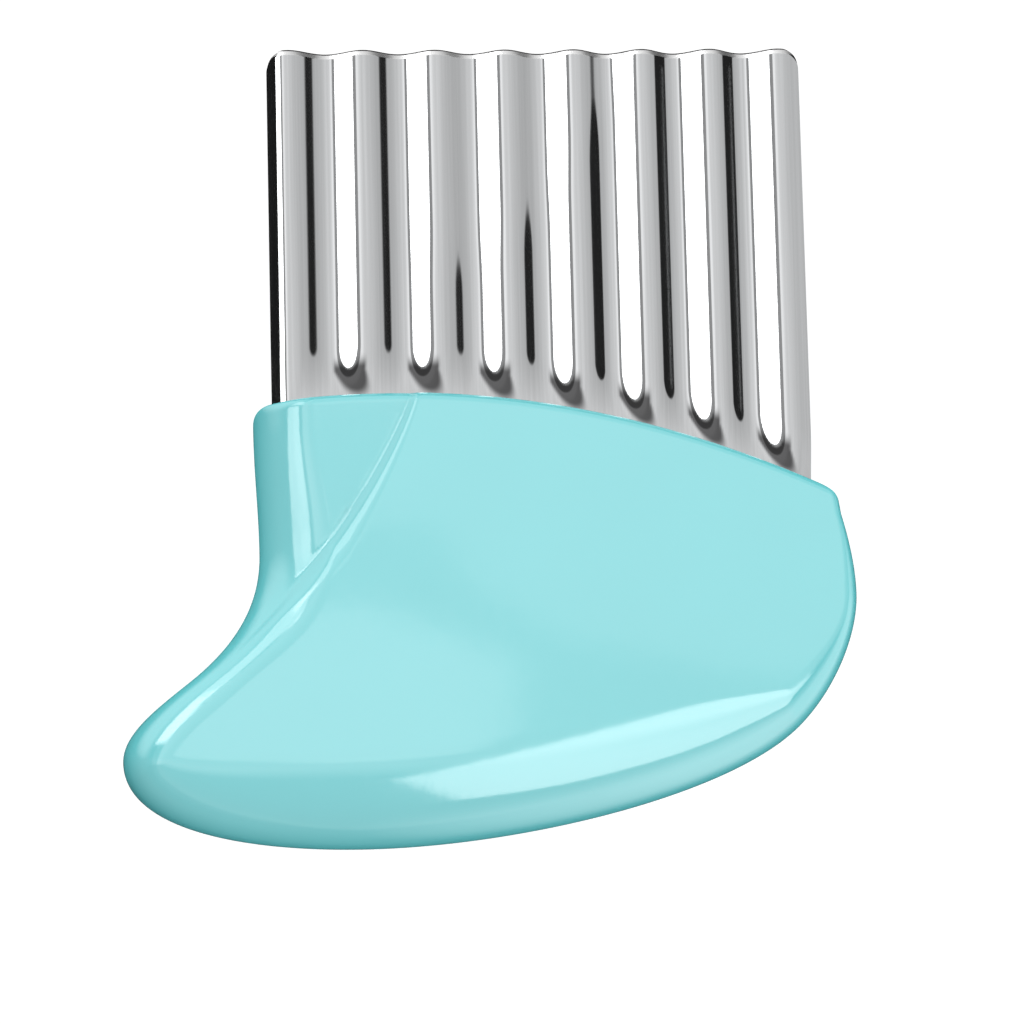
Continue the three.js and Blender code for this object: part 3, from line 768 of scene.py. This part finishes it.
def make_wall():
    """Pale wall round the floor, which only the camera sees."""
    deselect_all()
    bpy.ops.mesh.primitive_cylinder_add(
        vertices=96, radius=WALL_RADIUS, depth=WALL_HEIGHT, end_fill_type="NOTHING",
    )
    wall = bpy.context.active_object
    wall.name = "wall"
    wall.data.materials.append(glowing("pale_wall", WALL_GLOW, clear=False))
    hide_from(wall, "diffuse", "glossy", "transmission", "shadow")


def hide_from(piece, *rays):
    """Keeps a piece out of some kinds of rays."""
    for ray in rays:
        setattr(piece, "visible_" + ray, False)


def glowing(name, radiance, clear=True):
    """Material that glows; a clear one lets everything behind it show."""
    material, nodes, links, shader = new_material(name)
    nodes.remove(shader)
    glow = add_node(nodes, "Emission")
    glow.inputs["Strength"].default_value = radiance
    surface = glow.outputs[0]
    if clear:
        both = add_node(nodes, "AddShader")
        links.new(surface, both.inputs[0])
        links.new(add_node(nodes, "BsdfTransparent").outputs[0], both.inputs[1])
        surface = both.outputs[0]
    links.new(surface, nodes["Material Output"].inputs["Surface"])
    return material


def light_only(lamp, receivers):
    """Lets a light fall on some of the pieces only."""
    group = bpy.data.collections.new(lamp.name + "_receivers")
    for piece in receivers:
        group.objects.link(piece)
    lamp.light_linking.receiver_collection = group


def add_softbox(name, place, aim, size, radiance):
    """Rectangular light at a place in metres that faces an aim point."""
    light = bpy.data.lights.new(name, "AREA")
    light.shape = "RECTANGLE"
    light.size, light.size_y = size
    light.energy = radiance * math.pi * size[0] * size[1]
    lamp = bpy.data.objects.new(name, light)
    bpy.context.scene.collection.objects.link(lamp)
    lamp.location = place
    lamp.rotation_euler = (Vector(aim) - Vector(place)).to_track_quat("-Z", "Y").to_euler()
    hide_from(lamp, "camera")
    return lamp


def hang_card(name, rows, radiance, receivers):
    """Glowing card that only shows as a highlight on some pieces, through rows of points."""
    card, column, row = new_grid(name, len(rows[0]) - 1, len(rows) - 1)
    points = np.array(rows, float)[row, column]
    card.data.vertices.foreach_set("co", points.ravel())
    card.data.update()
    card.data.materials.append(glowing(name, radiance))
    hide_from(card, "camera", "diffuse", "shadow")
    light_only(card, receivers)


CARD_HEIGHT = 0.8


def sky_spot(right, far):
    """Point of a level plane, from the degrees it lies to the right of upright and to the far side."""
    across, along = math.tan(math.radians(right)), math.tan(math.radians(far))
    return CARD_HEIGHT * across, CARD_HEIGHT * along, CARD_HEIGHT


def arc_spots(stops):
    """Points of an arc of a level plane through stops: turns run from far to right, tilts from upright."""
    stop_turns, stop_tilts = zip(*stops)
    spots = []
    for degrees in np.linspace(stop_turns[0], stop_turns[-1], 25):
        turn = math.radians(degrees)
        reach = CARD_HEIGHT * math.tan(math.radians(np.interp(degrees, stop_turns, stop_tilts)))
        spots.append((reach * math.sin(turn), reach * math.cos(turn), CARD_HEIGHT))
    return spots


CEILING_ACROSS = [
    (-90, 0.03), (-60, 0.05), (-58, 0.33), (-43, 0.36), (-41, 1.1), (-32, 1.05), (-25, 0.86), (-12, 0.78),
    (0, 0.8), (30, 0.68), (60, 0.58), (67.5, 0.54), (69.5, 0.02), (90, 0.02),
]
CEILING_ALONG = [(-90, 0.3), (-32, 0.3), (-22, 1.0), (72, 1.0), (84, 0.5), (90, 0.4)]
TENT_RADIUS = 2.5


def turn_of(nodes, links, split, axis):
    """Angle from upright to a direction of the sky, along one axis, as a share of the half circle."""
    angle = add_node(nodes, "Math", operation="ARCTAN2")
    links.new(split.outputs[axis], angle.inputs[0])
    links.new(split.outputs["Z"], angle.inputs[1])
    return spread(nodes, links, angle.outputs[0], 0.0, 1.0, -math.pi / 2, math.pi / 2)


def sky_ramp(nodes, links, share, stops):
    """Level of the sky through stops of degrees and levels."""
    ramp = add_node(nodes, "ValToRGB")
    links.new(share, ramp.inputs[0])
    elements = ramp.color_ramp.elements
    while len(elements) < len(stops):
        elements.new(0.5)
    for element, (angle, level) in zip(elements, stops):
        element.position = (angle + 90) / 180
        element.color = (level, level, level, 1)
    return ramp.outputs["Color"]


def joined(nodes, links, operation, first, second):
    both = add_node(nodes, "VectorMath", operation=operation)
    links.new(first, both.inputs[0])
    links.new(second, both.inputs[1])
    return both.outputs[0]


def hang_ceiling():
    """Soft ceiling of the studio: bright to the left, dark towards the floor and the near side."""
    world = bpy.data.worlds.new("studio")
    bpy.context.scene.world = world
    world.use_nodes = True
    nodes, links = world.node_tree.nodes, world.node_tree.links
    split = add_node(nodes, "SeparateXYZ")
    links.new(add_node(nodes, "TexCoord").outputs["Generated"], split.inputs[0])
    across = sky_ramp(nodes, links, turn_of(nodes, links, split, "X"), CEILING_ACROSS)
    along = sky_ramp(nodes, links, turn_of(nodes, links, split, "Y"), CEILING_ALONG)
    links.new(joined(nodes, links, "MULTIPLY", across, along), nodes["Background"].inputs["Color"])


def pitch_tent(name, receivers):
    """Glowing ball round the cutter that lights some pieces only, and the sockets of its directions."""
    deselect_all()
    bpy.ops.mesh.primitive_uv_sphere_add(segments=64, ring_count=32, radius=TENT_RADIUS)
    tent = bpy.context.active_object
    tent.name = name
    material = glowing(name, 1.0)
    tent.data.materials.append(material)
    hide_from(tent, "camera", "shadow")
    light_only(tent, receivers)
    nodes, links = material.node_tree.nodes, material.node_tree.links
    where = add_node(nodes, "VectorMath", operation="NORMALIZE")
    links.new(add_node(nodes, "TexCoord").outputs["Object"], where.inputs[0])
    split = add_node(nodes, "SeparateXYZ")
    links.new(where.outputs[0], split.inputs[0])
    return tent, nodes, links, where.outputs[0], split.outputs["Z"]


def faced(nodes, links, where, side, low, high, start=-1.0, end=1.0):
    """Level that turns from low to high with how much a tent's direction faces a side."""
    facing = add_node(nodes, "VectorMath", operation="DOT_PRODUCT")
    facing.inputs[1].default_value = Vector(side).normalized()
    links.new(where, facing.inputs[0])
    return spread(nodes, links, facing.outputs["Value"], low, high, start, end)


def product(nodes, links, *levels):
    """Levels multiplied together."""
    whole = levels[0]
    for level in levels[1:]:
        whole = joined(nodes, links, "MULTIPLY", whole, level)
    return whole


NEAR = (0, -1, 0)
NEAR_LEFT = (-0.5, -0.866, 0)
NEAR_LEFT_BELOW = (-0.63, -0.62, -0.46)
NEAR_RIGHT = (0.82, -0.57, 0)
FAR_LEFT = (-0.7, 0.7, 0)
ALONG_RIDGE = (-0.75, 0.66, 0)


def hang_soft_tent(shells):
    """Even light from all round the handle but the near left below."""
    tent, nodes, links, where, height = pitch_tent("soft_tent", shells)
    level = spread(nodes, links, height, 1.7, 0.36, -0.6, 0.6)
    near = faced(nodes, links, where, NEAR, 0.9, 1.3)
    far = faced(nodes, links, where, FAR_LEFT, 1.0, 1.25, 0.2, 0.9)
    lit = faced(nodes, links, where, NEAR_LEFT_BELOW, 1.0, 0.0, 0.5, 0.74)
    links.new(product(nodes, links, level, near, far, lit), nodes["Emission"].inputs["Color"])
    hide_from(tent, "glossy")


def hang_shine_tent(shells):
    """Sky for the handle's shine, with a bright horizon to the near right and along the ridge."""
    tent, nodes, links, where, height = pitch_tent("shine_tent", shells)
    sky = spread(nodes, links, height, 0.0, 0.5, -0.75, 0.0)
    left = faced(nodes, links, where, NEAR_LEFT, 0.35, 1.0, 0.1, 0.4)
    top = spread(nodes, links, height, 0.0, 0.64, 0.5, 0.85)
    sky = product(nodes, links, sky, joined(nodes, links, "MAXIMUM", left, top))
    right = faced(nodes, links, where, NEAR_RIGHT, 0.0, 1.05, 0.55, 0.85)
    ridge = faced(nodes, links, where, ALONG_RIDGE, 0.0, 0.95, 0.8, 0.95)
    above = spread(nodes, links, height, 0.0, 1.0, -0.8, -0.45)
    below = spread(nodes, links, height, 1.0, 0.0, 0.1, 0.45)
    horizon = product(nodes, links, above, below, joined(nodes, links, "ADD", right, ridge))
    links.new(joined(nodes, links, "ADD", sky, horizon), nodes["Emission"].inputs["Color"])
    hide_from(tent, "diffuse")


CARDS = [
    ("sole_card", 1.7, [[(12, -60), (29, -62), (42, -61.5)], [(0, -36), (15, -7), (51.5, -36)]]),
    ("nose_card", 0.45, [[(-14, -8), (-4, -21), (4, -19)], [(-14, 3), (-2, 2.5), (5, -1.5)]]),
    ("palm_card", 0.26, [[(-12, 8.5), (1, 8), (2.5, 4), (7, 0), (15, -2.5), (30, -5)],
                         [(-12, 28), (1, 28), (2.5, 28), (7, 28), (15, 28), (30, 28)]]),
]
CREST_GLOW = 1.5
CREST_CARD = [
    [(-64, 71), (-52, 73), (-42, 76), (-34, 77)],
    [(-64, 48), (-54, 44), (-47, 54), (-42, 57), (-34, 59)],
]
HOLLOW_GLOW = 1.6
HOLLOW_CARD = [
    [(-0.1, -0.012, 0.043), (-0.1, 0.03, 0.048)],
    [(-0.1, -0.012, 0.089), (-0.1, 0.03, 0.082)],
]
BLADE_GLOW = 0.5
BLADE_CARD = [
    [(1.5, -0.4, height), (1.2, -0.9, height), (0.1, -1.5, height)] for height in (0.12, 1.3)
]
LEFT_BOX_GLOW = 3.0
LEFT_BOX_PLACE = (-0.8665, 0.5, 0.31)
LEFT_BOX_AIM = (0, 0.5, 0)
LEFT_BOX_SIZE = (2.6, 0.494)


def light_scene(shells, blade):
    hang_ceiling()
    left_box = add_softbox("left_box", LEFT_BOX_PLACE, LEFT_BOX_AIM, LEFT_BOX_SIZE, LEFT_BOX_GLOW)
    hide_from(left_box, "diffuse")
    light_only(left_box, [blade])
    hang_soft_tent(shells)
    hang_shine_tent(shells)
    for name, radiance, rows in CARDS:
        hang_card(name, [[sky_spot(*spot) for spot in row] for row in rows], radiance, shells)
    hang_card("crest_card", [arc_spots(stops) for stops in CREST_CARD], CREST_GLOW, shells)
    hang_card("hollow_card", HOLLOW_CARD, HOLLOW_GLOW, shells)
    hang_card("blade_card", BLADE_CARD, BLADE_GLOW, [blade])


VIEW_YAW = math.radians(4.5)
VIEW_TILT = math.radians(5.0)
VIEW_ROLL = math.radians(1.4)
VIEW_DISTANCE = 0.340
VIEW_TARGET = Vector((0.0032, -0.0096, BACK_DEPTH * MM))
PICTURE_WIDTH = 1024
PIXELS_PER_METRE = 7280
SENSOR_WIDTH = 36


def make_camera():
    towards = Vector((
        -math.sin(VIEW_YAW) * math.cos(VIEW_TILT),
        -math.sin(VIEW_TILT),
        math.cos(VIEW_YAW) * math.cos(VIEW_TILT),
    ))
    up = (Vector((0, 1, 0)) - towards * towards.y).normalized()
    right = up.cross(towards)
    turn = Matrix.Rotation(-VIEW_ROLL, 3, towards)
    right, up = turn @ right, turn @ up
    camera = bpy.data.cameras.new("camera")
    camera.sensor_width = SENSOR_WIDTH
    camera.lens = SENSOR_WIDTH * VIEW_DISTANCE / (PICTURE_WIDTH / PIXELS_PER_METRE)
    camera.clip_start = 0.01
    holder = bpy.data.objects.new("camera", camera)
    bpy.context.scene.collection.objects.link(holder)
    pose = Matrix((right, up, towards)).transposed().to_4x4()
    pose.translation = VIEW_TARGET + towards * VIEW_DISTANCE
    holder.matrix_world = pose
    bpy.context.scene.camera = holder


make_camera()
make_floor()
make_wall()
front_plastic = aqua_plastic("front_aqua_plastic")
back_plastic = aqua_plastic("back_aqua_plastic")
front = make_shell("front_cover", "front_shell", front_face, 1, front_plastic)
back = make_shell("back_cover", "back_shell", back_face, -1, back_plastic)
blade = make_blade(polished_steel())
light_scene([front, back], blade)
bpy.context.scene.view_settings.view_transform = "Standard"

bpy.context.view_layer.update()
